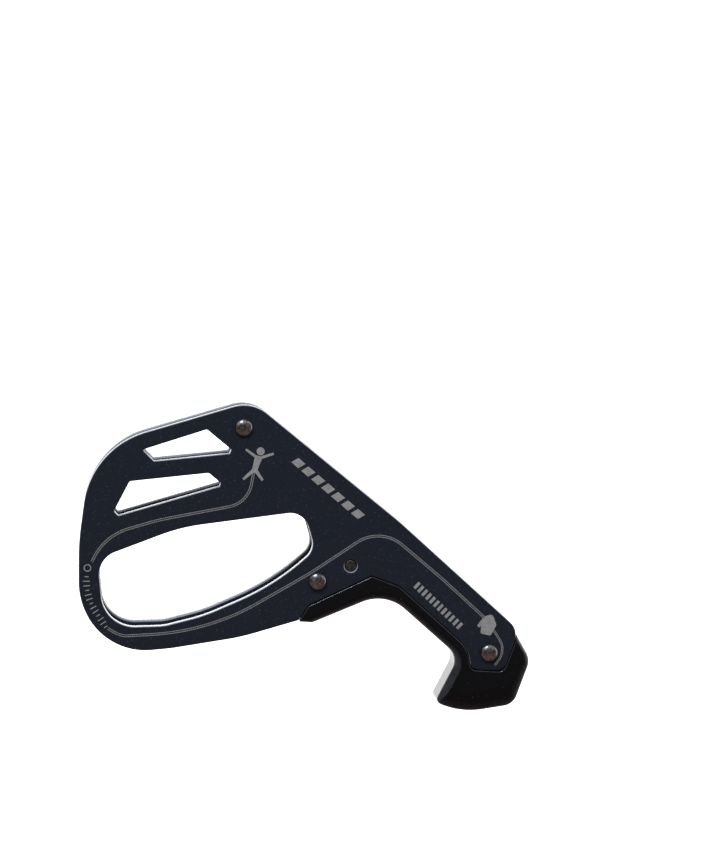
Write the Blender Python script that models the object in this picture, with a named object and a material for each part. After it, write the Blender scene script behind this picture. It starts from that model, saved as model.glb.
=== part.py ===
"""Assisted-braking belay device, as an assembly of separate pieces.

Two flat aluminium side plates are riveted over a moulded handle with a thumb hook. A rope runs
between the plates, and a carabiner passes through their slot.

Lengths are written in millimetres and turned into metres by MM. +Z is up, +X runs from the
carabiner end to the thumb hook, and the front plate faces -Y. The origin is the centre of the
carabiner slot's round end, half way between the plates. Outlines lie in the XZ plane, and each
corner of one is (x, z, radius of its round).
"""

import math

import bmesh
import bpy
from mathutils import Vector

MM = 0.001

# Driving dimensions, in millimetres.
ROPE_GAP = 11.0
PLATE_THICKNESS = 3.5
PLATE_EDGE_CHAMFER = 0.3
FIT_GAP = 0.3
HANDLE_PROUD = 0.6
HANDLE_EDGE_DEPTH = 2.4
INSERT_THICKNESS = 1.2
PIN_SUNK = 0.3
PIN_CHAMFER = 0.2

RIVET_RADIUS = 1.5
HEAD_RADIUS = 2.2
HEAD_RIM = 0.2
HEAD_HEIGHT = 1.4
SLEEVE_RADIUS = 2.4
BUSH_RADIUS = 4.0
PIN_RADIUS = 1.25
PIN_HOLE_RADIUS = 1.6

HALF_GAP = ROPE_GAP / 2
PLATE_FACE = HALF_GAP + PLATE_THICKNESS
TONGUE_HALF = HALF_GAP - FIT_GAP
HANDLE_HALF = PLATE_FACE + HANDLE_PROUD
RIVET_HOLE_RADIUS = RIVET_RADIUS + FIT_GAP
CUTTER_REACH = 5.0
CUTTER_HALF = HANDLE_HALF + CUTTER_REACH

# Fastener axes (x, z). All of them run along Y.
NOSE_RIVET = (26.4, 39.9)
BRAKE_RIVET = (44.8, 1.2)
HANDLE_RIVET = (88.1, -17.2)
LOCATING_PIN = (53.2, 5.0)

# Side plate, clockwise from the nose.
PLATE = [
    (28.5, 46.5, 9.3),
    (65.7, 15.9, 60.0),
    (95.7, -11.5, 4.2),
    (91.7, -21.9, 2.4),
    (83.6, -21.4, 2.0),
    (82.7, -15.8, 8.7),
    (65.5, -0.2, 5.0),
    (58.5, 2.5, 1.0),
    (42.5, -4.9, 0.8),
    (40.0, -8.7, 0.6),
    (25.6, -12.8, 60.0),
    (8.1, -15.5, 50.0),
    (-8.6, -16.9, 16.8),
    (-15.0, -2.3, 18.4),
    (-14.9, 11.5, 60.0),
    (-11.7, 34.9, 21.6),
]
CARABINER_SLOT = [
    (-10.1, 7.2, 5.9),
    (10.6, 14.9, 47.8),
    (41.5, 18.8, 4.8),
    (44.15, 9.15, 4.5),
    (34.3, 0.4, 63.0),
    (16.3, -7.3, 44.0),
    (6.2, -9.8, 14.4),
    (-8.6, -10.1, 8.4),
]
UPPER_WINDOW = [
    (1.2, 34.4, 0.3),
    (17.2, 39.4, 0.5),
    (23.2, 34.4, 0.3),
    (22.8, 33.4, 0.3),
    (4.0, 31.6, 0.4),
]
LOWER_WINDOW = [
    (-2.1, 26.5, 0.6),
    (17.6, 28.5, 0.6),
    (20.5, 26.1, 0.4),
    (20.3, 25.2, 0.3),
    (-5.0, 18.0, 0.3),
    (-6.0, 19.1, 0.4),
]

# The handle's outer edge, counter-clockwise from its tip. Each corner also holds how the front
# edge of the side that follows it is cut back: (width of its chamfer, width of its rounding).
HANDLE_EDGE = [
    (40.2, -9.2, 0.3, 0.0, 0.9),
    (43.7, -9.4, 1.5, 0.0, 1.7),
    (62.1, -1.95, 10.2, 0.0, 1.7),
    (80.5, -18.4, 4.2, 2.1, 0.0),
    (74.5, -29.8, 1.6, 0.0, 5.5),
    (81.2, -32.6, 21.0, 0.0, 5.5),
    (94.5, -30.6, 4.1, 0.0, 3.0),
    (98.8, -19.2, 4.6, 0.0, 1.2),
]
# The tongue's top between the plates, from its back end to the brake insert's tail.
TONGUE_TOP = [
    (95.4, -13.1, 0.5),
    (86.5, -4.3, 25.0),
    (66.5, 6.4, 12.0),
    (62.3, 7.8, 0.4),
]

# Rounds of the tongue's corners at the two ends of the brake insert, and the drop of its tail.
TAIL_ROUND = 0.2
TAIL_DROP = 0.1
FOOT_ROUND = 0.5

# The brake insert's rope side, from its foot over the tongue's front end to its tail.
INSERT_TOP = [
    (39.9, -3.5, 0.0),
    (39.9, 5.0, 3.8),
    (54.4, 9.6, 6.0),
    (61.9, 7.9, 0.0),
]

# How finely the round stretches are divided.
ARC_STEP = math.radians(10)
ARC_SAG = 0.03
STEP_SLACK = 0.01
ROUND_SEGMENTS = 24
EDGE_STEPS = 3
DOME_STEPS = 4
ROUNDS_SHARE_OF_SIDE = 0.98
LEAST_OFFSET_ROUND = 0.1
LEAST_INSERT_ROUND = 0.2
SHARP_ANGLE = math.radians(30)


# Outlines.


def direction(start, end):
    return Vector((end[0] - start[0], end[1] - start[1])).normalized()


def to_left(along):
    return Vector((-along.y, along.x))


def turn_angle(arriving, leaving):
    """How far a path turns between two directions, positive to the left."""
    return math.atan2(arriving.x * leaving.y - arriving.y * leaving.x, arriving.dot(leaving))


def moved_left(corners, distances):
    """A closed outline whose sides have each moved to their left by their own distance."""
    moved = []
    count = len(corners)
    for i in range(count):
        x, z, radius = corners[i][:3]
        arriving = direction(corners[i - 1], corners[i])
        leaving = direction(corners[i], corners[(i + 1) % count])
        turn = turn_angle(arriving, leaving)
        before, after = distances[i - 1], distances[i]
        slide = (after - before * math.cos(turn)) / math.sin(turn)
        place = Vector((x, z)) + to_left(arriving) * before - arriving * slide
        radius -= math.copysign((before + after) / 2, turn)
        moved.append((place.x, place.y, max(radius, LEAST_OFFSET_ROUND)))
    return moved


def fitted_radii(corners):
    """Each corner's radius, made smaller where two neighbouring rounds don't fit on their side."""
    count = len(corners)
    halves = []
    for i in range(count):
        arriving = direction(corners[i - 1], corners[i])
        leaving = direction(corners[i], corners[(i + 1) % count])
        halves.append(math.tan(abs(turn_angle(arriving, leaving)) / 2))
    radii = [corner[2] for corner in corners]
    for i in range(count):
        after = (i + 1) % count
        length = math.dist(corners[i][:2], corners[after][:2]) * ROUNDS_SHARE_OF_SIDE
        wanted = radii[i] * halves[i] + radii[after] * halves[after]
        if wanted > length:
            radii[i] *= length / wanted
            radii[after] *= length / wanted
    return radii


def arc_steps(turn, radius):
    """Straight steps for an arc, short enough for its turn and for how far they cut inside it."""
    step = min(ARC_STEP, 2 * math.acos(1 - min(1, ARC_SAG / radius)))
    return max(1, math.ceil(abs(turn) / step - STEP_SLACK))


def rounded(corners, steps=None):
    """Points along a closed outline with its corners rounded, each with the direction to its left.

    steps holds how many straight steps each corner's arc takes; without it, its turn and radius say.
    """
    path = []
    count = len(corners)
    radii = fitted_radii(corners)
    for i in range(count):
        corner = Vector(corners[i][:2])
        arriving = direction(corners[i - 1], corners[i])
        leaving = direction(corners[i], corners[(i + 1) % count])
        turn = turn_angle(arriving, leaving)
        side = math.copysign(1, turn)
        radius = radii[i]
        start = corner - arriving * radius * math.tan(abs(turn) / 2)
        centre = start + to_left(arriving) * side * radius
        wanted = steps[i] if steps else arc_steps(turn, corners[i][2])
        for step in range(wanted + 1):
            angle = turn * step / wanted
            left = to_left(arriving) * math.cos(angle) - arriving * math.sin(angle)
            path.append((centre - left * side * radius, left))
    return path


def circle(centre, radius):
    """Points round a circle, counter-clockwise, each with the direction to its left."""
    path = []
    for step in range(ROUND_SEGMENTS):
        angle = 2 * math.pi * step / ROUND_SEGMENTS
        outward = Vector((math.cos(angle), math.sin(angle)))
        path.append((Vector(centre) + outward * radius, -outward))
    return path


def turned_left(corners):
    """The same outline, counter-clockwise."""
    area = sum(
        corners[i - 1][0] * corners[i][1] - corners[i][0] * corners[i - 1][1]
        for i in range(len(corners))
    )
    return corners if area > 0 else corners[::-1]


# Solids.


def ring_vertices(mesh, path, y, move=0.0):
    """A ring of vertices at this depth, moved to the left of the path."""
    ring = []
    for point, left in path:
        place = point + left * move
        ring.append(mesh.verts.new((place.x * MM, y * MM, place.y * MM)))
    return ring


def join_rings(mesh, rings):
    for first, second in zip(rings, rings[1:]):
        count = len(first)
        for i in range(count):
            after = (i + 1) % count
            mesh.faces.new((first[i], first[after], second[after], second[i]))


def cap(mesh, rings):
    """Fills the flat area between one outer ring and the rings of its holes."""
    edges = []
    for ring in rings:
        for i in range(len(ring)):
            edges.append(mesh.edges.get((ring[i - 1], ring[i])))
    bmesh.ops.triangle_fill(mesh, use_beauty=True, edges=edges)


def finished(mesh, name, material):
    """The mesh as an object of the scene, with its faces out and its round sides smooth."""
    bmesh.ops.recalc_face_normals(mesh, faces=mesh.faces[:])
    data = bpy.data.meshes.new(name)
    mesh.to_mesh(data)
    mesh.free()
    data.shade_smooth()
    data.set_sharp_from_angle(angle=SHARP_ANGLE)
    if material:
        data.materials.append(material)
    made = bpy.data.objects.new(name, data)
    bpy.context.scene.collection.objects.link(made)
    return made


def slab(name, material, outer, holes, y_low, y_high, chamfer=0.0):
    """A flat solid between two depths, with holes, and a chamfer on the edges of both its faces."""
    mesh = bmesh.new()
    levels = [(y_low, 0.0), (y_high, 0.0)]
    if chamfer:
        levels = [
            (y_low, chamfer),
            (y_low + chamfer, 0.0),
            (y_high - chamfer, 0.0),
            (y_high, chamfer),
        ]
    low_rings = []
    high_rings = []
    for path, inwards in [(outer, 1)] + [(hole, -1) for hole in holes]:
        rings = [ring_vertices(mesh, path, y, move * inwards) for y, move in levels]
        join_rings(mesh, rings)
        low_rings.append(rings[0])
        high_rings.append(rings[-1])
    cap(mesh, low_rings)
    cap(mesh, high_rings)
    return finished(mesh, name, material)


def turned(name, material, centre, profile):
    """A solid of revolution about an axis along Y. The profile is (y, radius), from end to end."""
    mesh = bmesh.new()
    rings = [ring_vertices(mesh, circle(centre, radius), y) for y, radius in profile]
    join_rings(mesh, rings)
    cap(mesh, [rings[0]])
    cap(mesh, [rings[-1]])
    return finished(mesh, name, material)


def cut(target, cutter):
    """Takes the cutter's shape out of the target."""
    cutter.hide_render = True
    cutter.display_type = "WIRE"
    modifier = target.modifiers.new(cutter.name, "BOOLEAN")
    modifier.operation = "DIFFERENCE"
    modifier.solver = "EXACT"
    modifier.object = cutter


def material(name, colour, roughness, metallic):
    made = bpy.data.materials.new(name)
    made.use_nodes = True
    shader = made.node_tree.nodes["Principled BSDF"]
    shader.inputs["Base Color"].default_value = (*colour, 1.0)
    shader.inputs["Roughness"].default_value = roughness
    shader.inputs["Metallic"].default_value = metallic
    return made


# Pieces.


def make_plate(name, y_low, y_high):
    """One side plate, with its slot, two windows and four fastener holes."""
    holes = [rounded(turned_left(hole)) for hole in (CARABINER_SLOT, UPPER_WINDOW, LOWER_WINDOW)]
    for centre in (NOSE_RIVET, BRAKE_RIVET, HANDLE_RIVET):
        holes.append(circle(centre, RIVET_HOLE_RADIUS))
    holes.append(circle(LOCATING_PIN, PIN_HOLE_RADIUS))
    finish = material(name + "_anodised", (0.02, 0.024, 0.034), 0.36, 0.5)
    outer = rounded(turned_left(PLATE))
    slab(name, finish, outer, holes, y_low, y_high, PLATE_EDGE_CHAMFER)


def tongue_front():
    """The tongue's surface under the brake insert, from its tail to its foot."""
    under = insert_outline(INSERT_THICKNESS + FIT_GAP)[len(INSERT_TOP):]
    tail = (TONGUE_TOP[-1][0], under[0][1] - TAIL_DROP, TAIL_ROUND)
    foot = (under[-1][0], under[-1][1] - 2 * FIT_GAP, FOOT_ROUND)
    return [tail] + under[1:-1] + [foot]


def insert_outline(thickness):
    """A strip that follows the brake insert's rope side, as the corners of a closed outline."""
    last = len(INSERT_TOP) - 1
    under = []
    for i, (x, z, radius) in enumerate(INSERT_TOP):
        arriving = direction(INSERT_TOP[max(i - 1, 0)], INSERT_TOP[max(i, 1)])
        leaving = direction(INSERT_TOP[min(i, last - 1)], INSERT_TOP[min(i + 1, last)])
        inwards = -(to_left(arriving) + to_left(leaving)).normalized()
        reach = thickness / math.cos(turn_angle(arriving, leaving) / 2)
        place = Vector((x, z)) + inwards * reach
        under.append((place.x, place.y, max(radius - thickness, LEAST_INSERT_ROUND)))
    return [(x, z, max(radius, LEAST_INSERT_ROUND)) for x, z, radius in INSERT_TOP] + under[::-1]


def make_handle():
    """Tongue, lip and thumb hook in one moulding, cut back where the plates and fasteners sit."""
    inside = TONGUE_TOP + tongue_front()
    outline = [corner[:3] for corner in HANDLE_EDGE] + inside
    rest = [0.0] * len(inside)
    chamfers = [corner[3] for corner in HANDLE_EDGE] + rest
    rounds = [corner[4] for corner in HANDLE_EDGE] + rest
    count = len(outline)
    steps = []
    for i in range(count):
        arriving = direction(outline[i - 1], outline[i])
        leaving = direction(outline[i], outline[(i + 1) % count])
        steps.append(arc_steps(turn_angle(arriving, leaving), outline[i][2]))
    mesh = bmesh.new()
    levels = []
    for step in range(EDGE_STEPS + 1):
        share = step / EDGE_STEPS
        round_share = 1 - math.sqrt(1 - share**2)
        moves = [a * share + b * round_share for a, b in zip(chamfers, rounds)]
        y = HANDLE_HALF - HANDLE_EDGE_DEPTH * (1 - share)
        levels.append((y, rounded(moved_left(outline, moves), steps)))
    rings = [ring_vertices(mesh, path, -y) for y, path in levels[::-1]]
    rings += [ring_vertices(mesh, path, y) for y, path in levels]
    join_rings(mesh, rings)
    cap(mesh, [rings[0]])
    cap(mesh, [rings[-1]])
    plastic = material("handle_plastic", (0.008, 0.008, 0.009), 0.42, 0.0)
    handle = finished(mesh, "handle_body", plastic)
    grown = moved_left(turned_left(PLATE), [-FIT_GAP] * len(PLATE))
    for side, low, high in (
        ("front", -CUTTER_HALF, -TONGUE_HALF),
        ("rear", TONGUE_HALF, CUTTER_HALF),
    ):
        cut(handle, slab("cut_plate_" + side, None, rounded(grown), [], low, high))
    for name, centre, radius in (
        ("cut_brake_sleeve", BRAKE_RIVET, SLEEVE_RADIUS + FIT_GAP),
        ("cut_handle_sleeve", HANDLE_RIVET, SLEEVE_RADIUS + FIT_GAP),
        ("cut_pin", LOCATING_PIN, PIN_RADIUS + FIT_GAP),
    ):
        cut(handle, slab(name, None, circle(centre, radius), [], -CUTTER_HALF, CUTTER_HALF))


def make_insert():
    steel = material("insert_steel", (0.5, 0.49, 0.47), 0.35, 1.0)
    outline = rounded(turned_left(insert_outline(INSERT_THICKNESS)))
    slab("brake_insert", steel, outline, [], -TONGUE_HALF, TONGUE_HALF)


def make_rivet(name, centre):
    """A rivet with a low domed head over each plate."""
    steel = material(name + "_steel", (0.25, 0.24, 0.23), 0.24, 1.0)
    seat = PLATE_FACE + FIT_GAP
    dome = HEAD_HEIGHT - HEAD_RIM
    half = [(seat, RIVET_RADIUS), (seat, HEAD_RADIUS)]
    for step in range(DOME_STEPS):
        angle = math.pi / 2 * step / DOME_STEPS
        half.append(
            (seat + HEAD_RIM + dome * math.sin(angle), HEAD_RADIUS * math.cos(angle))
        )
    profile = [(-y, radius) for y, radius in half[::-1]] + half
    turned(name, steel, centre, profile)


def make_tube(name, centre, radius):
    """A spacer tube round a rivet, between the plates."""
    steel = material(name + "_steel", (0.5, 0.49, 0.47), 0.3, 1.0)
    bore = circle(centre, RIVET_HOLE_RADIUS)
    slab(name, steel, circle(centre, radius), [bore], -TONGUE_HALF, TONGUE_HALF)


def make_pin():
    steel = material("pin_steel", (0.28, 0.27, 0.26), 0.4, 1.0)
    half = PLATE_FACE - PIN_SUNK
    slab("locating_pin", steel, circle(LOCATING_PIN, PIN_RADIUS), [], -half, half, PIN_CHAMFER)


def main():
    for old in list(bpy.data.objects):
        bpy.data.objects.remove(old)
    make_plate("front_plate", -PLATE_FACE, -HALF_GAP)
    make_plate("rear_plate", HALF_GAP, PLATE_FACE)
    make_handle()
    make_insert()
    make_rivet("nose_rivet", NOSE_RIVET)
    make_rivet("brake_rivet", BRAKE_RIVET)
    make_rivet("handle_rivet", HANDLE_RIVET)
    make_tube("nose_bush", NOSE_RIVET, BUSH_RADIUS)
    make_tube("brake_sleeve", BRAKE_RIVET, SLEEVE_RADIUS)
    make_tube("handle_sleeve", HANDLE_RIVET, SLEEVE_RADIUS)
    make_pin()


main()
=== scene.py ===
import math

import bmesh
import bpy
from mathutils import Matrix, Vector


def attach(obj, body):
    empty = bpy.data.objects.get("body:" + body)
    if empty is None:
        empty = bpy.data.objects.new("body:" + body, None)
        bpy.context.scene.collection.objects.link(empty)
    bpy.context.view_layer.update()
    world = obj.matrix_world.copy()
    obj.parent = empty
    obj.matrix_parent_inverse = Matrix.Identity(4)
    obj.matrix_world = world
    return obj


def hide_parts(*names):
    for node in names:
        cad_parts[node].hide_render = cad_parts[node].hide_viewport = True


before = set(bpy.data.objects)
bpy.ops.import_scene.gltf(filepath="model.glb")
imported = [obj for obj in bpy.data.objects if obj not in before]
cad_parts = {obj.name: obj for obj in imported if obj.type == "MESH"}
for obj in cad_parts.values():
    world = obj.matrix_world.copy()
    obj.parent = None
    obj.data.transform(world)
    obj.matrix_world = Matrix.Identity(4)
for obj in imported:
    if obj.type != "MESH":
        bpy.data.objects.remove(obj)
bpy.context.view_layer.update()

# Lengths are in millimetres, and MM turns them into metres. Outlines lie in the XZ plane, and each
# corner of one is (x, z, radius of its round).
MM = 0.001

# Depths along Y, measured from the middle plane between the plates.
HALF_GAP = 5.5
PLATE_FACE = 9.0
HANDLE_HALF = 9.6
TONGUE_HALF = 5.2

# How far in from its front and rear faces the handle's edge starts to roll over.
HANDLE_EDGE_DEPTH = 2.4
HANDLE_REAR_DEPTH = 5.2

# Rounded edges, and the gaps between neighbours.
PLATE_EDGE = 0.32
ROPE_SIDE_EDGE = 0.8
INSERT_EDGE = 0.15
TUBE_EDGE = 0.2
PIN_EDGE = 0.2
POCKET_EDGE = 0.17
POCKET_SEAM = 0.2
PIN_SEAM = 0.03
SEAM = 0.3
CUTTER_REACH = 0.3
BORE_REACH = 2.0

RIVET_RADIUS = 1.5
RIVET_HOLE_RADIUS = 1.8
SHANK_REACH = 0.6
HEAD_RADIUS = 2.2
HEAD_HEIGHT = 1.57
HEAD_RIM = 0.5
HEAD_CHAMFER = 0.06
HEAD_SEAT = 0.02
HEAD_SQUARENESS = 0.8
SLEEVE_RADIUS = 2.4
BUSH_RADIUS = 4.0
PIN_RADIUS = 1.4
PIN_HOLE_RADIUS = 1.6
PIN_SINK = 0.3
INSERT_THICKNESS = 1.2
LEAST_INSERT_ROUND = 0.2
TAIL_DROP = 0.1
TAIL_ROUND = 0.2
FOOT_DROP = 0.6
FOOT_ROUND = 0.5

NOSE_RIVET = (26.4, 39.9)
BRAKE_RIVET = (44.8, 1.2)
HANDLE_RIVET = (88.1, -17.2)
LOCATING_PIN = (53.2, 5.0)

PLATE = [
    (28.5, 46.5, 9.3),
    (65.7, 15.9, 60.0),
    (95.7, -11.5, 4.2),
    (91.7, -21.9, 2.4),
    (83.6, -21.4, 2.0),
    (82.7, -15.8, 8.7),
    (65.5, -0.2, 5.0),
    (58.5, 2.5, 1.0),
    (42.5, -4.9, 0.8),
    (40.0, -8.7, 0.6),
    (25.6, -12.8, 60.0),
    (8.1, -15.5, 50.0),
    (-8.6, -16.9, 16.8),
    (-15.0, -2.3, 18.4),
    (-14.9, 11.5, 60.0),
    (-11.7, 34.9, 21.6),
]
CARABINER_SLOT = [
    (-10.1, 7.2, 5.9),
    (10.6, 14.9, 47.8),
    (41.5, 18.8, 4.8),
    (44.15, 9.15, 4.5),
    (34.3, 0.4, 63.0),
    (16.3, -7.3, 44.0),
    (6.2, -9.8, 14.4),
    (-8.6, -10.1, 8.4),
]
UPPER_WINDOW = [
    (1.2, 34.4, 0.3),
    (17.2, 39.4, 0.5),
    (23.2, 34.4, 0.3),
    (22.8, 33.4, 0.3),
    (4.0, 31.6, 0.4),
]
LOWER_WINDOW = [
    (-2.1, 26.5, 0.6),
    (17.6, 28.5, 0.6),
    (20.5, 26.1, 0.4),
    (20.3, 25.2, 0.3),
    (-5.0, 18.0, 0.3),
    (-6.0, 19.1, 0.4),
]

# The handle's outer edge, counter-clockwise from its tip. Each corner also has the width of the
# chamfer and the width of the rounding along the side that follows it.
HANDLE_EDGE = [
    (40.2, -9.2, 0.3, 0.0, 0.9),
    (43.7, -9.4, 1.5, 0.0, 1.9),
    (62.1, -1.95, 10.2, 0.0, 1.9),
    (80.5, -18.4, 4.2, 2.1, 0.0),
    (74.5, -29.8, 1.6, 0.0, 5.5),
    (81.2, -32.6, 21.0, 0.0, 5.5),
    (94.5, -30.6, 4.1, 0.0, 3.0),
    (98.8, -19.2, 4.6, 0.0, 1.2),
]
TONGUE_TOP = [
    (95.4, -13.1, 0.5),
    (86.5, -4.3, 25.0),
    (66.5, 6.4, 12.0),
    (62.3, 7.8, 0.4),
]
INSERT_TOP = [
    (39.9, -3.5, 0.0),
    (39.9, 5.0, 3.8),
    (54.4, 9.6, 6.0),
    (61.9, 7.9, 0.0),
]

# The laser-marked rope and the rim's row of marks, as open paths of (x, z, radius).
ROPE_TO_CLIMBER = [
    (28.9, 28.9, 0.0),
    (27.4, 20.9, 7.0),
    (5.0, 16.8, 60.0),
    (-8.2, 13.0, 14.0),
    (-11.6, 6.5, 0.0),
]
ROPE_TO_HAND = [
    (-7.7, -10.3, 0.0),
    (-4.4, -12.3, 6.0),
    (17.5, -11.2, 60.0),
    (43.0, 3.2, 90.0),
    (60.7, 14.8, 9.5),
    (76.0, 1.8, 40.0),
    (86.9, -8.3, 0.0),
]
ROPE_FROM_HAND = [
    (89.3, -11.6, 0.0),
    (91.7, -15.4, 6.0),
    (91.2, -18.2, 6.0),
    (89.6, -20.4, 0.0),
]
RIM_MARKS = [
    (-12.7, 4.9, 0.0),
    (-13.5, -1.6, 14.0),
    (-8.2, -10.0, 0.0),
]
ROPE_MARK_WIDTH = 0.64
ROPE_END_WIDTH = 0.8 * ROPE_MARK_WIDTH
ROPE_LINE_WIDTH = 0.14
ROPE_LAY_SPACING = 0.55
ROPE_LAY_SLANT = 0.8
ROPE_LAY_HALF_WIDTH = 0.3 * ROPE_LINE_WIDTH

# The figure's limbs and the mitten's thumb, as (start, end, width at the start, at the end).
FIGURE_HEAD = (30.6, 33.9)
FIGURE_HEAD_RADIUS = 1.0
FIGURE_LIMBS = [
    ((30.2, 32.7), (29.0, 29.0), 1.9, 1.3),
    ((29.9, 32.2), (26.9, 34.4), 0.75, 0.55),
    ((30.7, 32.3), (33.9, 33.3), 0.75, 0.55),
    ((28.9, 29.2), (26.2, 26.9), 0.95, 0.6),
    ((29.3, 29.2), (31.1, 26.6), 0.95, 0.6),
]
MITTEN_PALM = [
    (86.4, -8.2, 0.6),
    (89.0, -7.4, 0.9),
    (90.0, -10.2, 0.9),
    (88.5, -12.9, 0.5),
    (85.9, -12.3, 0.5),
]
MITTEN_THUMB = ((86.5, -9.2), (85.4, -10.6), 1.0, 0.8)

# Rows of plain bars, as (start, end, number of bars, bar width, gap, height, slant).
LONG_ROW = ((38.9, 31.9), (55.6, 17.5), 7, 2.2, 0.9, 2.0, 0.7)
SHORT_ROW = ((69.6, 0.2), (80.9, -10.6), 12, 0.7, 0.55, 1.9, 0.0)

# The ticks round the rim, every third of them short, and the ring at their start.
TICK_SPACING = 1.15
TICK_START = 2.2
TICK_WIDTH = 0.24
TICK_REACH = 0.85
SHORT_TICK_REACH = 0.5
RING_RADIUS = 0.95
RING_WIDTH = 0.25

# How far the marks stand over the plate's face, the gap under them, and the step from one layer
# of them to the next.
MARK_LIFT = 0.02
MARK_GAP = 0.002
LAYER_LIFT = 0.004

# Rounds are drawn in steps of at most this turn and this sag, and the two at the ends of a side
# take up at most this share of it.
MOST_TURN = math.radians(5)
MOST_SAG = 0.004
MOST_OF_A_SIDE = 0.98
LEAST_ROUND = 0.1

# Segments in a full circle, and steps in a quarter turn.
ROUND_SEGMENTS = 96
HOLE_SEGMENTS = 48
PIN_HOLE_SEGMENTS = 64
RING_SEGMENTS = 32
DISC_SEGMENTS = 28
EDGE_STEPS = 4
ROLL_STEPS = 18
DOME_STEPS = 18
POCKET_STEPS = 5

# The share of the roll over which its chamfer bends into its slope.
ROLL_EASE = 0.35

# Edges that turn by more than this many degrees stay sharp.
SHARP_ANGLE = 35
HANDLE_SHARP_ANGLE = 32
TURNED_SHARP_ANGLE = 50


# Outlines.


def direction(start, end):
    return Vector((end[0] - start[0], end[1] - start[1])).normalized()


def to_left(along):
    return Vector((-along.y, along.x))


def turn_angle(arriving, leaving):
    return math.atan2(arriving.x * leaving.y - arriving.y * leaving.x, arriving.dot(leaving))


def moved_left(corners, distances):
    """A closed outline whose sides have each moved to their left by their own distance."""
    moved = []
    count = len(corners)
    for i in range(count):
        x, z, radius = corners[i][:3]
        arriving = direction(corners[i - 1], corners[i])
        leaving = direction(corners[i], corners[(i + 1) % count])
        turn = turn_angle(arriving, leaving)
        before, after = distances[i - 1], distances[i]
        slide = (after - before * math.cos(turn)) / math.sin(turn)
        place = Vector((x, z)) + to_left(arriving) * before - arriving * slide
        radius -= math.copysign((before + after) / 2, turn)
        moved.append((place.x, place.y, max(radius, LEAST_ROUND)))
    return moved


def arc_steps(turn, radius):
    step = min(MOST_TURN, 2 * math.acos(1 - min(1, MOST_SAG / max(radius, MOST_SAG))))
    return max(1, math.ceil(abs(turn) / step))


def rounded(corners, closed=True, steps=None):
    """Points along an outline with its corners rounded, each with the direction to its left.

    steps, if given, holds the number of steps in each corner's round."""
    count = len(corners)
    radii = [corner[2] for corner in corners]
    sides = range(count) if closed else range(count - 1)
    turns = []
    for i in range(count):
        if not closed and i in (0, count - 1):
            turns.append(0.0)
            continue
        arriving = direction(corners[i - 1], corners[i])
        turns.append(turn_angle(arriving, direction(corners[i], corners[(i + 1) % count])))
    for i in sides:
        after = (i + 1) % count
        length = math.dist(corners[i][:2], corners[after][:2]) * MOST_OF_A_SIDE
        wanted = sum(radii[j] * math.tan(abs(turns[j]) / 2) for j in (i, after))
        if wanted > length:
            radii[i] *= length / wanted
            radii[after] *= length / wanted
    path = []
    for i in range(count):
        corner = Vector(corners[i][:2])
        if not closed and i == 0:
            path.append((corner, to_left(direction(corners[0], corners[1]))))
            continue
        arriving = direction(corners[i - 1], corners[i])
        if not closed and i == count - 1:
            path.append((corner, to_left(arriving)))
            continue
        turn = turns[i]
        side = math.copysign(1, turn)
        radius = radii[i]
        start = corner - arriving * radius * math.tan(abs(turn) / 2)
        centre = start + to_left(arriving) * side * radius
        wanted = steps[i] if steps else arc_steps(turn, corners[i][2])
        for step in range(wanted + 1):
            angle = turn * step / wanted
            left = to_left(arriving) * math.cos(angle) - arriving * math.sin(angle)
            path.append((centre - left * side * radius, left))
    return path


def circle(centre, radius, segments=ROUND_SEGMENTS):
    path = []
    for step in range(segments):
        angle = 2 * math.pi * step / segments
        outward = Vector((math.cos(angle), math.sin(angle)))
        path.append((Vector(centre) + outward * radius, -outward))
    return path


def turned_left(corners):
    """The same outline, counter-clockwise."""
    area = sum(
        corners[i - 1][0] * corners[i][1] - corners[i][0] * corners[i - 1][1]
        for i in range(len(corners))
    )
    return corners if area > 0 else corners[::-1]


# Solids.


def ring_vertices(mesh, path, y, move=0.0):
    """A path's points at this depth, each moved to its left."""
    ring = []
    for point, left in path:
        place = point + left * move
        ring.append(mesh.verts.new((place.x * MM, y * MM, place.y * MM)))
    return ring


def join_rings(mesh, rings):
    """The walls between each ring and the next."""
    for first, second in zip(rings, rings[1:]):
        count = len(first)
        for i in range(count):
            after = (i + 1) % count
            mesh.faces.new((first[i], first[after], second[after], second[i]))


def cap(mesh, rings):
    """Fills the flat face between an outer ring and the rings inside it."""
    edges = []
    for ring in rings:
        for i in range(len(ring)):
            edges.append(mesh.edges.get((ring[i - 1], ring[i])))
    bmesh.ops.triangle_fill(mesh, use_beauty=True, edges=edges)


def object_of(mesh, name, material=None, sharp=SHARP_ANGLE):
    """The mesh as an object in the scene."""
    bmesh.ops.recalc_face_normals(mesh, faces=mesh.faces[:])
    data = bpy.data.meshes.new(name)
    mesh.to_mesh(data)
    mesh.free()
    if material:
        data.materials.append(material)
    made = bpy.data.objects.new(name, data)
    bpy.context.scene.collection.objects.link(made)
    soften(made, sharp)
    return made


def soften(made, sharp):
    """Smooth shading that keeps flat faces flat."""
    made.data.shade_smooth()
    made.data.set_sharp_from_angle(angle=math.radians(sharp))
    weighted = made.modifiers.new("Weighted", "WEIGHTED_NORMAL")
    weighted.keep_sharp = True
    weighted.weight = 100


def edge_levels(y_low, y_high, low_edge, high_edge):
    """(y, move inwards) of the rings of a wall whose two ends are rounded over."""
    low = []
    high = []
    for step in range(EDGE_STEPS + 1):
        angle = math.pi / 2 * step / EDGE_STEPS
        along, across = 1 - math.cos(angle), 1 - math.sin(angle)
        low.append((y_low + low_edge * along, low_edge * across))
        high.append((y_high - high_edge * along, high_edge * across))
    return low + high[::-1]


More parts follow.
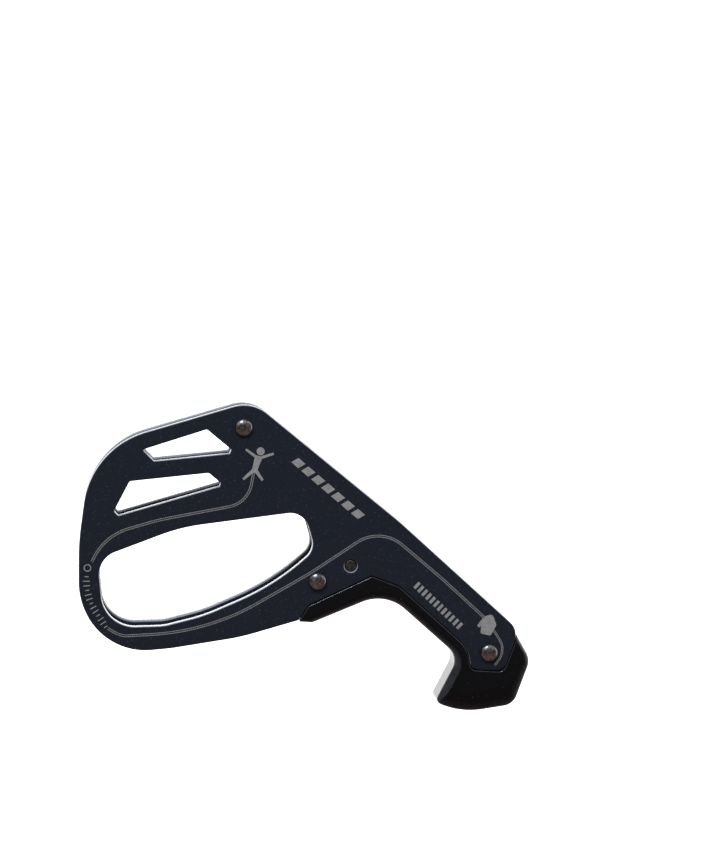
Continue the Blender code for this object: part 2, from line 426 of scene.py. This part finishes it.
def slab(name, material, outer, holes, y_low, y_high, edges=None):
    """A flat solid between two depths, with holes. edges holds the roundings of its two faces."""
    mesh = bmesh.new()
    levels = [(y_low, 0.0), (y_high, 0.0)]
    if edges:
        levels = edge_levels(y_low, y_high, *edges)
    low_rings = []
    high_rings = []
    for path, inwards in [(outer, 1)] + [(hole, -1) for hole in holes]:
        rings = [ring_vertices(mesh, path, y, move * inwards) for y, move in levels]
        join_rings(mesh, rings)
        low_rings.append(rings[0])
        high_rings.append(rings[-1])
    cap(mesh, low_rings)
    cap(mesh, high_rings)
    return object_of(mesh, name, material)


def turned(name, material, centre, profile):
    """A solid of revolution about an axis along Y, from its profile of (y, radius)."""
    mesh = bmesh.new()
    rings = [ring_vertices(mesh, circle(centre, radius), y) for y, radius in profile]
    join_rings(mesh, rings)
    cap(mesh, [rings[0]])
    cap(mesh, [rings[-1]])
    return object_of(mesh, name, material, TURNED_SHARP_ANGLE)


def cut_away(target, cutters):
    """Takes each cutter's shape out of the target, and removes the cutters.

    Each cut face keeps the finish of its cutter's face, by number."""
    target.modifiers.clear()
    for cutter in cutters:
        cutter.modifiers.clear()
        modifier = target.modifiers.new("Cut", "BOOLEAN")
        modifier.operation = "DIFFERENCE"
        modifier.solver = "EXACT"
        modifier.object = cutter
    bpy.context.view_layer.update()
    graph = bpy.context.evaluated_depsgraph_get()
    result = bpy.data.meshes.new_from_object(target.evaluated_get(graph))
    finishes = [0] * len(result.polygons)
    result.polygons.foreach_get("material_index", finishes)
    materials = list(target.data.materials)
    target.modifiers.clear()
    target.data = result
    result.materials.clear()
    for material in materials:
        result.materials.append(material)
    result.polygons.foreach_set("material_index", finishes)
    for cutter in cutters:
        bpy.data.objects.remove(cutter)


# Finishes.

FACE_DARK = (0.0138, 0.0178, 0.0262)
FACE_LIGHT = (0.036, 0.041, 0.053)
# Pale specks on the plate's face are painted glints.
FACE_GLINT = (0.17, 0.185, 0.2)
EDGE_COLOUR = (0.46, 0.46, 0.49)
PLASTIC_DARK = (0.0031, 0.0031, 0.0038)
PLASTIC_LIGHT = (0.02, 0.02, 0.022)
PLASTIC_SPECK = (0.06, 0.06, 0.06)
PLASTIC_WORN = (0.03, 0.03, 0.032)
# Scuffs and painted light on the handle's walls and rounded edges.
PLASTIC_SCUFF_AND_SIDE_LIGHT = (0.036, 0.036, 0.04)
RIVET_DARK = (0.095, 0.085, 0.083)
RIVET_LIGHT = (0.25, 0.235, 0.23)
PIN_DARK = (0.05, 0.046, 0.046)
PIN_LIGHT = (0.11, 0.105, 0.105)
BARE_STEEL = (0.5, 0.49, 0.47)
MARK_DARK = (0.25, 0.243, 0.238)
MARK_LIGHT = (0.34, 0.332, 0.325)

# Bands of a noise's values. The patches are its few high ones.
WIDE = (0.3, 0.7)
MIDDLE = (0.35, 0.65)
NARROW = (0.4, 0.6)
FACE_PATCHES = (0.62, 0.78)
PLASTIC_PATCHES = (0.64, 0.78)

# How far along Y a normal points on a flat face and on an edge, and how far along Z it points
# where a surface faces down and where it faces up.
FLAT_TO_EDGE = (0.96, 0.7)
DOWN_TO_UP = (-0.4, 0.15)

# A speck fades out between these shares of its radius.
SPECK_FADE = (0.6, 1.2)


def principled(name, colour, roughness, metallic, specular=0.5):
    """A material and its shader. What varies over the surface is linked in over these values."""
    made = bpy.data.materials.new(name)
    made.use_nodes = True
    shader = made.node_tree.nodes["Principled BSDF"]
    shader.inputs["Base Color"].default_value = (*colour, 1.0)
    shader.inputs["Roughness"].default_value = roughness
    shader.inputs["Metallic"].default_value = metallic
    shader.inputs["Specular IOR Level"].default_value = specular
    return made, shader


def node(material, kind, **inputs):
    made = material.node_tree.nodes.new(kind)
    for name, value in inputs.items():
        made.inputs[name].default_value = value
    return made


def link(material, out, into):
    material.node_tree.links.new(out, into)


def on_the_object(material, kind, **inputs):
    """A texture that is fixed to the object."""
    where = node(material, "ShaderNodeTexCoord")
    texture = node(material, kind, **inputs)
    link(material, where.outputs["Object"], texture.inputs["Vector"])
    return texture


def grain(material, scale, detail):
    """Cloudy noise with this many features per metre."""
    texture = on_the_object(material, "ShaderNodeTexNoise", Scale=scale, Detail=detail)
    return texture.outputs["Fac"]


def spread(material, value, low, high, to_low=0.0, to_high=1.0):
    """The value's range from low to high, spread over another range and held to it."""
    ends = {"From Min": low, "From Max": high, "To Min": to_low, "To Max": to_high}
    made = node(material, "ShaderNodeMapRange", **ends)
    link(material, value, made.inputs["Value"])
    return made.outputs["Result"]


def mix_colour(material, factor, first, second):
    """From the first to the second as the factor rises. The first may be a node's output."""
    made = material.node_tree.nodes.new("ShaderNodeMix")
    made.data_type = "RGBA"
    if isinstance(first, bpy.types.NodeSocket):
        link(material, first, made.inputs["A"])
    else:
        made.inputs["A"].default_value = (*first, 1.0)
    made.inputs["B"].default_value = (*second, 1.0)
    link(material, factor, made.inputs["Factor"])
    return made.outputs["Result"]


def times(material, first, second):
    made = node(material, "ShaderNodeMath")
    made.operation = "MULTIPLY"
    link(material, first, made.inputs[0])
    link(material, second, made.inputs[1])
    return made.outputs["Value"]


def bump(material, shader, height, strength, distance):
    made = node(material, "ShaderNodeBump", Strength=strength, Distance=distance)
    link(material, height, made.inputs["Height"])
    link(material, made.outputs["Normal"], shader.inputs["Normal"])


def coordinates(material, kind):
    """The X, Y and Z of a texture coordinate."""
    where = node(material, "ShaderNodeTexCoord")
    parts = node(material, "ShaderNodeSeparateXYZ")
    link(material, where.outputs[kind], parts.inputs["Vector"])
    return parts.outputs


def facing_sideways(material):
    """1 on walls and rounded edges, 0 on the flat faces across Y."""
    along_y = node(material, "ShaderNodeMath")
    along_y.operation = "ABSOLUTE"
    link(material, coordinates(material, "Normal")["Y"], along_y.inputs[0])
    return spread(material, along_y.outputs["Value"], *FLAT_TO_EDGE)


def facing_up(material, least):
    """1 on what faces up or to the side, and this least on what faces down."""
    return spread(material, coordinates(material, "Normal")["Z"], *DOWN_TO_UP, least)


def specks(material, spacing, radius):
    """1 in small scattered dots of this radius, both in millimetres."""
    cells = on_the_object(material, "ShaderNodeTexVoronoi", Scale=1 / (spacing * MM))
    start, end = [share * radius / spacing for share in SPECK_FADE]
    return spread(material, cells.outputs["Distance"], start, end, 1.0, 0.0)


def anodised_finish():
    """Bead-blasted aluminium dyed dark blue-grey, paler and smoother on machined edges; painted
    shade and glints.
    """
    made, shader = principled("plate_anodised", FACE_DARK, 0.34, 0.1, 0.15)
    edge = facing_sideways(made)
    level = spread(made, grain(made, 2600.0, 1.0), *FACE_PATCHES)
    face = mix_colour(made, level, FACE_DARK, FACE_LIGHT)
    # Painted glints: pale specks that stand for the sparkle of the blasted face.
    dotted = mix_colour(made, specks(made, 1.1, 0.08), face, FACE_GLINT)
    # The pale edge colour is the metal's own, but edges that face down keep only 0.15 of it:
    # painted shade.
    edges_and_painted_light = times(made, edge, facing_up(made, 0.15))
    whole = mix_colour(made, edges_and_painted_light, dotted, EDGE_COLOUR)
    link(made, whole, shader.inputs["Base Color"])
    bump(made, shader, grain(made, 5200.0, 2.0), 0.3, 0.00002)
    wear = grain(made, 90.0, 3.0)
    rough = node(made, "ShaderNodeMix")
    link(made, edge, rough.inputs["Factor"])
    link(made, spread(made, wear, *WIDE, 0.33, 0.4), rough.inputs["A"])
    link(made, spread(made, wear, *WIDE, 0.24, 0.32), rough.inputs["B"])
    link(made, rough.outputs["Result"], shader.inputs["Roughness"])
    link(made, spread(made, edge, 0.0, 1.0, 0.1, 0.25), shader.inputs["Metallic"])
    return made


def plastic_finish():
    """Satin black nylon with a fine spark texture, scuffs, and painted light on its sides."""
    made, shader = principled("handle_plastic", PLASTIC_DARK, 0.42, 0.0, 0.12)
    edge = facing_sideways(made)
    level = spread(made, grain(made, 2300.0, 1.0), *PLASTIC_PATCHES)
    face = mix_colour(made, level, PLASTIC_DARK, PLASTIC_LIGHT)
    dotted = mix_colour(made, specks(made, 1.6, 0.1), face, PLASTIC_SPECK)
    # Walls and rounded edges turn paler in patches: scuffs, and painted light over all the sides.
    scuff_and_side_light = spread(made, grain(made, 900.0, 4.0), *WIDE, 0.45, 0.95)
    edges_and_painted_light = mix_colour(made, times(made, edge, scuff_and_side_light), dotted, PLASTIC_SCUFF_AND_SIDE_LIGHT)
    link(made, edges_and_painted_light, shader.inputs["Base Color"])
    link(made, spread(made, edge, 0.0, 1.0, 0.42, 0.25), shader.inputs["Roughness"])
    bump(made, shader, grain(made, 3600.0, 3.0), 0.4, 0.00002)
    return made


def plastic_edge_finish():
    """The same nylon where handling has polished the edge round the plate."""
    made, shader = principled("handle_plastic_edge", PLASTIC_DARK, 0.28, 0.0, 0.6)
    patchy = grain(made, 500.0, 3.0)
    colour = mix_colour(made, spread(made, patchy, *NARROW), PLASTIC_LIGHT, PLASTIC_WORN)
    link(made, colour, shader.inputs["Base Color"])
    link(made, spread(made, patchy, *WIDE, 0.12, 0.24), shader.inputs["Roughness"])
    return made


def rivet_finish():
    """Stainless steel, smudged by the press that closed the head."""
    made, shader = principled("rivet_steel", RIVET_LIGHT, 0.2, 1.0)
    smudge = grain(made, 1600.0, 4.0)
    colour = mix_colour(made, spread(made, smudge, *MIDDLE), RIVET_DARK, RIVET_LIGHT)
    link(made, colour, shader.inputs["Base Color"])
    link(made, spread(made, smudge, *MIDDLE, 0.12, 0.34), shader.inputs["Roughness"])
    bump(made, shader, smudge, 0.5, 0.00007)
    return made


def pin_finish():
    """Duller steel than the rivets', just below the plates' faces."""
    made, shader = principled("pin_steel", PIN_LIGHT, 0.36, 1.0)
    smudge = grain(made, 1400.0, 3.0)
    colour = mix_colour(made, spread(made, smudge, *MIDDLE), PIN_DARK, PIN_LIGHT)
    link(made, colour, shader.inputs["Base Color"])
    bump(made, shader, smudge, 0.3, 0.00005)
    return made


def bare_steel_finish():
    """Bright steel with an uneven polish."""
    made, shader = principled("bare_steel", BARE_STEEL, 0.3, 1.0)
    polish = spread(made, grain(made, 1500.0, 4.0), *WIDE, 0.22, 0.42)
    link(made, polish, shader.inputs["Roughness"])
    return made


def marking_finish():
    """The pale grey that a laser leaves in the dye."""
    made, shader = principled("laser_mark", MARK_LIGHT, 0.6, 0.0, 0.3)
    patchy = spread(made, grain(made, 1800.0, 2.0), *MIDDLE)
    link(made, mix_colour(made, patchy, MARK_DARK, MARK_LIGHT), shader.inputs["Base Color"])
    return made


# Pieces.


def place(piece, slot, *nodes):
    """Fixes a piece to the body, in the CAD nodes' place if any are named."""
    if nodes:
        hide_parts(*nodes)
    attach(piece, "root")


def make_plate(name, material, y_low, y_high, edges):
    holes = [rounded(turned_left(hole)) for hole in (CARABINER_SLOT, UPPER_WINDOW, LOWER_WINDOW)]
    for centre in (NOSE_RIVET, BRAKE_RIVET, HANDLE_RIVET):
        holes.append(circle(centre, RIVET_HOLE_RADIUS, HOLE_SEGMENTS))
    holes.append(circle(LOCATING_PIN, PIN_HOLE_RADIUS, PIN_HOLE_SEGMENTS))
    outer = rounded(turned_left(PLATE))
    plate = slab("side_plate_" + name, material, outer, holes, y_low, y_high, edges)
    place(plate, "plate_anodised", name + "_plate")


def insert_outline(thickness):
    """The bent wear strip's top side, and the same line this far under it."""
    last = len(INSERT_TOP) - 1
    under = []
    for i, (x, z, radius) in enumerate(INSERT_TOP):
        arriving = direction(INSERT_TOP[max(i - 1, 0)], INSERT_TOP[max(i, 1)])
        leaving = direction(INSERT_TOP[min(i, last - 1)], INSERT_TOP[min(i + 1, last)])
        inwards = -(to_left(arriving) + to_left(leaving)).normalized()
        reach = thickness / math.cos(turn_angle(arriving, leaving) / 2)
        spot = Vector((x, z)) + inwards * reach
        under.append((spot.x, spot.y, max(radius - thickness, LEAST_INSERT_ROUND)))
    top = [(x, z, max(radius, LEAST_INSERT_ROUND)) for x, z, radius in INSERT_TOP]
    return top + under[::-1]


def tongue_front():
    """The tongue's end under the wear strip."""
    under = insert_outline(INSERT_THICKNESS + SEAM)[len(INSERT_TOP):]
    tail = (TONGUE_TOP[-1][0], under[0][1] - TAIL_DROP, TAIL_ROUND)
    foot = (under[-1][0], under[-1][1] - FOOT_DROP, FOOT_ROUND)
    return [tail] + under[1:-1] + [foot]


def eased(share):
    """A straight slope that starts from 0 with a round."""
    if share < ROLL_EASE:
        return share**2 / (2 * ROLL_EASE)
    return share - ROLL_EASE / 2


def handle_levels():
    """(drop, outline) from the start of the edge's roll up to the face.

    The drop below the face is a share of the roll's depth, so it falls from 1 to 0."""
    inside = TONGUE_TOP + tongue_front()
    outline = [corner[:3] for corner in HANDLE_EDGE] + inside
    rest = [0.0] * len(inside)
    chamfers = [corner[3] for corner in HANDLE_EDGE] + rest
    rounds = [corner[4] for corner in HANDLE_EDGE] + rest
    steps = []
    for i, corner in enumerate(outline):
        arriving = direction(outline[i - 1], corner)
        leaving = direction(corner, outline[(i + 1) % len(outline)])
        steps.append(arc_steps(turn_angle(arriving, leaving), corner[2]))
    levels = []
    for step in range(ROLL_STEPS + 1):
        share = math.sin(math.pi / 2 * step / ROLL_STEPS)
        round_share = 1 - math.sqrt(max(0.0, 1 - share**2))
        moves = [a * eased(share) + b * round_share for a, b in zip(chamfers, rounds)]
        levels.append((1 - share, rounded(moved_left(outline, moves), steps=steps)))
    return levels


def pocket_cutter(pocket, side):
    """What the plate on this side takes out of the handle.

    Its walls flare at the face, and take the handle's second finish."""
    mesh = bmesh.new()
    rings = [ring_vertices(mesh, pocket, side * TONGUE_HALF)]
    for step in range(POCKET_STEPS + 1):
        angle = math.pi / 2 * step / POCKET_STEPS
        depth = HANDLE_HALF - POCKET_EDGE * (1 - math.sin(angle))
        flare = POCKET_EDGE * (1 - math.cos(angle))
        rings.append(ring_vertices(mesh, pocket, side * depth, -flare))
    outermost = side * (HANDLE_HALF + CUTTER_REACH)
    rings.append(ring_vertices(mesh, pocket, outermost, -POCKET_EDGE))
    join_rings(mesh, rings)
    for face in mesh.faces:
        face.material_index = 1
    cap(mesh, [rings[0]])
    cap(mesh, [rings[-1]])
    return object_of(mesh, "cutter")


def make_handle(material, edge_material):
    mesh = bmesh.new()
    rings = []
    levels = handle_levels()
    for drop, path in levels[::-1]:
        rings.append(ring_vertices(mesh, path, HANDLE_EDGE_DEPTH * drop - HANDLE_HALF))
    for drop, path in levels:
        rings.append(ring_vertices(mesh, path, HANDLE_HALF - HANDLE_REAR_DEPTH * drop))
    join_rings(mesh, rings)
    cap(mesh, [rings[0]])
    cap(mesh, [rings[-1]])
    handle = object_of(mesh, "thumb_handle", material)
    plate = turned_left(PLATE)
    pocket = rounded(moved_left(plate, [-POCKET_SEAM] * len(plate)))
    cutters = [pocket_cutter(pocket, side) for side in (-1, 1)]
    far = HANDLE_HALF + BORE_REACH
    for centre, radius in (
        (BRAKE_RIVET, SLEEVE_RADIUS + SEAM),
        (HANDLE_RIVET, SLEEVE_RADIUS + SEAM),
        (LOCATING_PIN, PIN_RADIUS + PIN_SEAM),
    ):
        bore = circle(centre, radius, HOLE_SEGMENTS)
        cutters.append(slab("cutter", None, bore, [], -far, far))
    handle.data.materials.append(edge_material)
    cut_away(handle, cutters)
    soften(handle, HANDLE_SHARP_ANGLE)
    place(handle, "handle_plastic", "handle_body")


def through_piece(name, material, outer, holes, half, edge):
    """A flat solid, centred between the plates, with both its faces rounded over."""
    return slab(name, material, outer, holes, -half, half, (edge, edge))


def make_insert(material):
    outline = rounded(turned_left(insert_outline(INSERT_THICKNESS)))
    piece = through_piece("brake_wear_strip", material, outline, [], TONGUE_HALF, INSERT_EDGE)
    place(piece, "bare_steel", "brake_insert")


def make_rivet(name, centre, material):
    """A rivet with a low domed head, seated on each plate."""
    rise = HEAD_HEIGHT - HEAD_RIM
    half = [
        (PLATE_FACE - SHANK_REACH, RIVET_RADIUS),
        (PLATE_FACE + HEAD_SEAT, RIVET_RADIUS),
        (PLATE_FACE + HEAD_SEAT, HEAD_RADIUS - HEAD_CHAMFER),
        (PLATE_FACE + HEAD_CHAMFER, HEAD_RADIUS),
        (PLATE_FACE + HEAD_RIM - HEAD_CHAMFER, HEAD_RADIUS),
    ]
    for step in range(DOME_STEPS):
        angle = math.pi / 2 * step / DOME_STEPS
        height = PLATE_FACE + HEAD_RIM + rise * math.sin(angle) ** HEAD_SQUARENESS
        half.append((height, HEAD_RADIUS * math.cos(angle) ** HEAD_SQUARENESS))
    profile = [(-y, radius) for y, radius in half[::-1]] + half
    place(turned("domed_" + name, material, centre, profile), "rivet_steel", name)


def make_tube(name, node_name, centre, radius, material):
    bore = circle(centre, RIVET_HOLE_RADIUS, HOLE_SEGMENTS)
    outer = circle(centre, radius)
    piece = through_piece(name, material, outer, [bore], TONGUE_HALF, TUBE_EDGE)
    place(piece, "bare_steel", node_name)


def make_pin(material):
    outer = circle(LOCATING_PIN, PIN_RADIUS)
    piece = through_piece("sunk_pin", material, outer, [], PLATE_FACE - PIN_SINK, PIN_EDGE)
    place(piece, "rivet_steel", "locating_pin")


# Laser marks, as very thin solids on the front plate's face.


def flat_mark(name, outlines, material, layer=0):
    """Marks of the given outlines. Each further layer stands over the one before it."""
    mesh = bmesh.new()
    low = -PLATE_FACE - MARK_LIFT - layer * LAYER_LIFT
    high = -PLATE_FACE - MARK_GAP
    for outline in outlines:
        rings = []
        for y in (low, high):
            rings.append([mesh.verts.new((p[0] * MM, y * MM, p[1] * MM)) for p in outline])
        join_rings(mesh, rings)
        cap(mesh, [rings[0]])
        cap(mesh, [rings[1]])
    place(object_of(mesh, name, material), "plate_anodised")


def walk(path, spacing, start):
    """Places along a path at equal spacing, each with its direction to the left."""
    reached = start
    length = 0.0
    places = []
    for (first, left), (second, after) in zip(path, path[1:]):
        step = (second - first).length
        while length + step >= reached and step > 0:
            share = (reached - length) / step
            places.append((first.lerp(second, share), left.lerp(after, share).normalized()))
            reached += spacing
        length += step
    return places


def ribbon(path, low, high):
    """The outline of a strip along a path, between two distances to its left."""
    near = [point + left * low for point, left in path]
    far = [point + left * high for point, left in path]
    return near + far[::-1]


def rope_mark(name, corners, width, material):
    """Two border lines with slanted lay strokes between them."""
    path = rounded(corners, closed=False)
    half = width / 2
    line = ROPE_LINE_WIDTH
    outlines = [ribbon(path, half - line, half), ribbon(path, -half, -half + line)]
    reach = half - line / 2
    for spot, left in walk(path, ROPE_LAY_SPACING, ROPE_LAY_SPACING):
        along = Vector((left.y, -left.x))
        slant = along * half * ROPE_LAY_SLANT
        thick = along * ROPE_LAY_HALF_WIDTH
        top = spot + left * reach + slant
        bottom = spot - left * reach - slant
        outlines.append([top - thick, bottom - thick, bottom + thick, top + thick])
    flat_mark(name, outlines, material)


def row_of_bars(name, row, material):
    """A row of plain slanted bars that fills the line from start to end."""
    start, end, count, width, gap, height, slant = row
    start, end = Vector(start), Vector(end)
    along = (end - start).normalized()
    up = to_left(along) * height / 2
    shift = along * slant
    scale = (end - start).length / (count * (width + gap) - gap)
    outlines = []
    for number in range(count):
        reached = number * (width + gap)
        near = start + along * reached * scale
        far = start + along * (reached + width) * scale
        outlines.append([near - up, far - up, far + up + shift, near + up + shift])
    flat_mark(name, outlines, material)


def limb(start, end, width_start, width_end):
    """A tapering stroke with flat ends."""
    start, end = Vector(start), Vector(end)
    left = to_left((end - start).normalized())
    return [
        start - left * width_start / 2,
        end - left * width_end / 2,
        end + left * width_end / 2,
        start + left * width_start / 2,
    ]


def points_of(path):
    return [point for point, left in path]


def make_people(material):
    """A plain figure with raised arms, and a plain mitten: which end of the rope is which."""
    outlines = [points_of(circle(FIGURE_HEAD, FIGURE_HEAD_RADIUS, DISC_SEGMENTS))]
    outlines += [limb(*shape) for shape in FIGURE_LIMBS]
    for number, outline in enumerate(outlines):
        flat_mark("mark_figure_%d" % number, [outline], material, number)
    palm = points_of(rounded(turned_left(MITTEN_PALM)))
    flat_mark("mark_mitten", [palm], material)
    flat_mark("mark_mitten_thumb", [limb(*MITTEN_THUMB)], material, 1)


def make_rim_marks(material):
    ticks = []
    path = rounded(RIM_MARKS, closed=False)
    for number, (spot, left) in enumerate(walk(path, TICK_SPACING, TICK_START)):
        reach = left * (TICK_REACH if number % 3 else SHORT_TICK_REACH)
        ticks.append(limb(spot - reach, spot + reach, TICK_WIDTH, TICK_WIDTH))
    flat_mark("mark_rim_ticks", ticks, material)
    ring = circle(RIM_MARKS[0][:2], RING_RADIUS, RING_SEGMENTS)
    outer = points_of(ring)
    inner = [point + left * RING_WIDTH for point, left in ring]
    half = RING_SEGMENTS // 2
    first = outer[: half + 1] + inner[: half + 1][::-1]
    second = outer[half:] + outer[:1] + inner[:1] + inner[half:][::-1]
    for number, outline in enumerate((first, second)):
        flat_mark("mark_rim_ring_%d" % number, [outline], material)


def make_marks(material):
    rope_mark("mark_rope_to_climber", ROPE_TO_CLIMBER, ROPE_MARK_WIDTH, material)
    rope_mark("mark_rope_to_hand", ROPE_TO_HAND, ROPE_MARK_WIDTH, material)
    rope_mark("mark_rope_from_hand", ROPE_FROM_HAND, ROPE_END_WIDTH, material)
    make_people(material)
    row_of_bars("mark_long_row", LONG_ROW, material)
    row_of_bars("mark_short_row", SHORT_ROW, material)
    make_rim_marks(material)


def main():
    anodised = anodised_finish()
    rivet_steel = rivet_finish()
    bare_steel = bare_steel_finish()
    make_plate("front", anodised, -PLATE_FACE, -HALF_GAP, (PLATE_EDGE, ROPE_SIDE_EDGE))
    make_plate("rear", anodised, HALF_GAP, PLATE_FACE, (ROPE_SIDE_EDGE, PLATE_EDGE))
    make_handle(plastic_finish(), plastic_edge_finish())
    make_insert(bare_steel)
    for name, centre in (
        ("nose_rivet", NOSE_RIVET),
        ("brake_rivet", BRAKE_RIVET),
        ("handle_rivet", HANDLE_RIVET),
    ):
        make_rivet(name, centre, rivet_steel)
    make_tube("nose_spacer", "nose_bush", NOSE_RIVET, BUSH_RADIUS, bare_steel)
    make_tube("brake_spacer", "brake_sleeve", BRAKE_RIVET, SLEEVE_RADIUS, bare_steel)
    make_tube("handle_spacer", "handle_sleeve", HANDLE_RIVET, SLEEVE_RADIUS, bare_steel)
    make_pin(pin_finish())
    make_marks(marking_finish())


main()


# Stage, lights and camera.


FRONT_FLOOR = (0.34, 0.25, 0.23)
FRONT_WALL = (0.13, 0.13, 0.145)
FRONT_TOP = (1.1, 1.12, 1.16)
BACK_WHITE = (2.2, 2.2, 2.2)

# In metres from here on. The bowl has a flat floor, a quarter round and an upright wall.
FLOOR_HEIGHT = -0.25
FLOOR_RADII = (0.02, 1.0, 2.0)
BOWL_ROUND = 1.0
BOWL_STEPS = 12
WALL_HEIGHTS = (2.0, 3.0)

# The front's glow changes between these heights, and turns white between these depths.
FLOOR_FADE = (FLOOR_HEIGHT, -0.08)
TOP_FADE = (0.3, 2.2)
BACK_FADE = (0.0, 0.9)

SURROUND_STRENGTH = 0.5

CENTRE = (0.04, 0.0, 0.008)
CAMERA_PLACE = (-0.00195, -0.84751, 0.08631)
CAMERA_AZIMUTH = math.radians(-3.92)
CAMERA_ELEVATION = math.radians(3.11)
FOCAL_LENGTH = 142.64


def backdrop_finish():
    """Paper that glows by itself: white behind the object, and dim and warm in front of it."""
    made, shader = principled("backdrop_paper", (0.0, 0.0, 0.0), 1.0, 0.0, 0.0)
    where = coordinates(made, "Object")
    low = spread(made, where["Z"], *FLOOR_FADE)
    near = mix_colour(made, low, FRONT_FLOOR, FRONT_WALL)
    high = spread(made, where["Z"], *TOP_FADE)
    front = mix_colour(made, high, near, FRONT_TOP)
    depth = spread(made, where["Y"], *BACK_FADE)
    whole = mix_colour(made, depth, front, BACK_WHITE)
    link(made, whole, shader.inputs["Emission Color"])
    shader.inputs["Emission Strength"].default_value = 1.0
    return made


def make_bowl():
    """A floor that rises into a wall all round."""
    profile = [(radius, 0.0) for radius in FLOOR_RADII]
    floor_end = FLOOR_RADII[-1]
    for step in range(1, BOWL_STEPS + 1):
        angle = math.pi / 2 * step / BOWL_STEPS
        reach, height = math.sin(angle), 1 - math.cos(angle)
        profile.append((floor_end + BOWL_ROUND * reach, BOWL_ROUND * height))
    profile += [(floor_end + BOWL_ROUND, height) for height in WALL_HEIGHTS]
    mesh = bmesh.new()
    rings = []
    for radius, height in profile:
        ring = []
        for step in range(ROUND_SEGMENTS):
            angle = 2 * math.pi * step / ROUND_SEGMENTS
            x, y = radius * math.cos(angle), radius * math.sin(angle)
            ring.append(mesh.verts.new((x, y, FLOOR_HEIGHT + height)))
        rings.append(ring)
    join_rings(mesh, rings)
    cap(mesh, [rings[0]])
    data = bpy.data.meshes.new("backdrop")
    mesh.to_mesh(data)
    mesh.free()
    data.materials.append(backdrop_finish())
    data.shade_smooth()
    bowl = bpy.data.objects.new("backdrop", data)
    bpy.context.scene.collection.objects.link(bowl)


def make_light(name, location, size, radiance, colour=(1, 1, 1)):
    """A softbox of this width and height, aimed at the object."""
    data = bpy.data.lights.new(name, "AREA")
    data.shape = "RECTANGLE"
    data.size, data.size_y = size
    data.energy = radiance * math.pi * size[0] * size[1]
    data.color = colour
    lamp = bpy.data.objects.new(name, data)
    lamp.location = location
    aim = Vector(CENTRE) - Vector(location)
    lamp.rotation_euler = aim.to_track_quat("-Z", "Y").to_euler()
    bpy.context.scene.collection.objects.link(lamp)


def make_surround():
    world = bpy.data.worlds.new("surround")
    world.use_nodes = True
    background = world.node_tree.nodes["Background"]
    background.inputs["Color"].default_value = (1, 1, 1, 1)
    background.inputs["Strength"].default_value = SURROUND_STRENGTH
    bpy.context.scene.world = world


def make_camera():
    across = math.cos(CAMERA_ELEVATION)
    back = Vector(
        (
            math.sin(CAMERA_AZIMUTH) * across,
            -math.cos(CAMERA_AZIMUTH) * across,
            math.sin(CAMERA_ELEVATION),
        )
    )
    lens = bpy.data.cameras.new("camera")
    lens.sensor_width = 36.0
    lens.lens = FOCAL_LENGTH
    lens.clip_start = 0.05
    lens.clip_end = 50.0
    camera = bpy.data.objects.new("camera", lens)
    camera.location = CAMERA_PLACE
    camera.rotation_euler = (-back).to_track_quat("-Z", "Y").to_euler()
    bpy.context.scene.collection.objects.link(camera)
    bpy.context.scene.camera = camera
    bpy.context.scene.view_settings.view_transform = "Standard"


make_bowl()
make_light("side_softbox", location=(0.9, -0.1, 0.1), size=(0.25, 0.8), radiance=2.6)
make_light(
    "key_softbox",
    location=(-0.273, -0.89, 0.945),
    size=(0.35, 0.35),
    radiance=25.7,
    colour=(0.74, 0.87, 1.0),
)
make_surround()
make_camera()
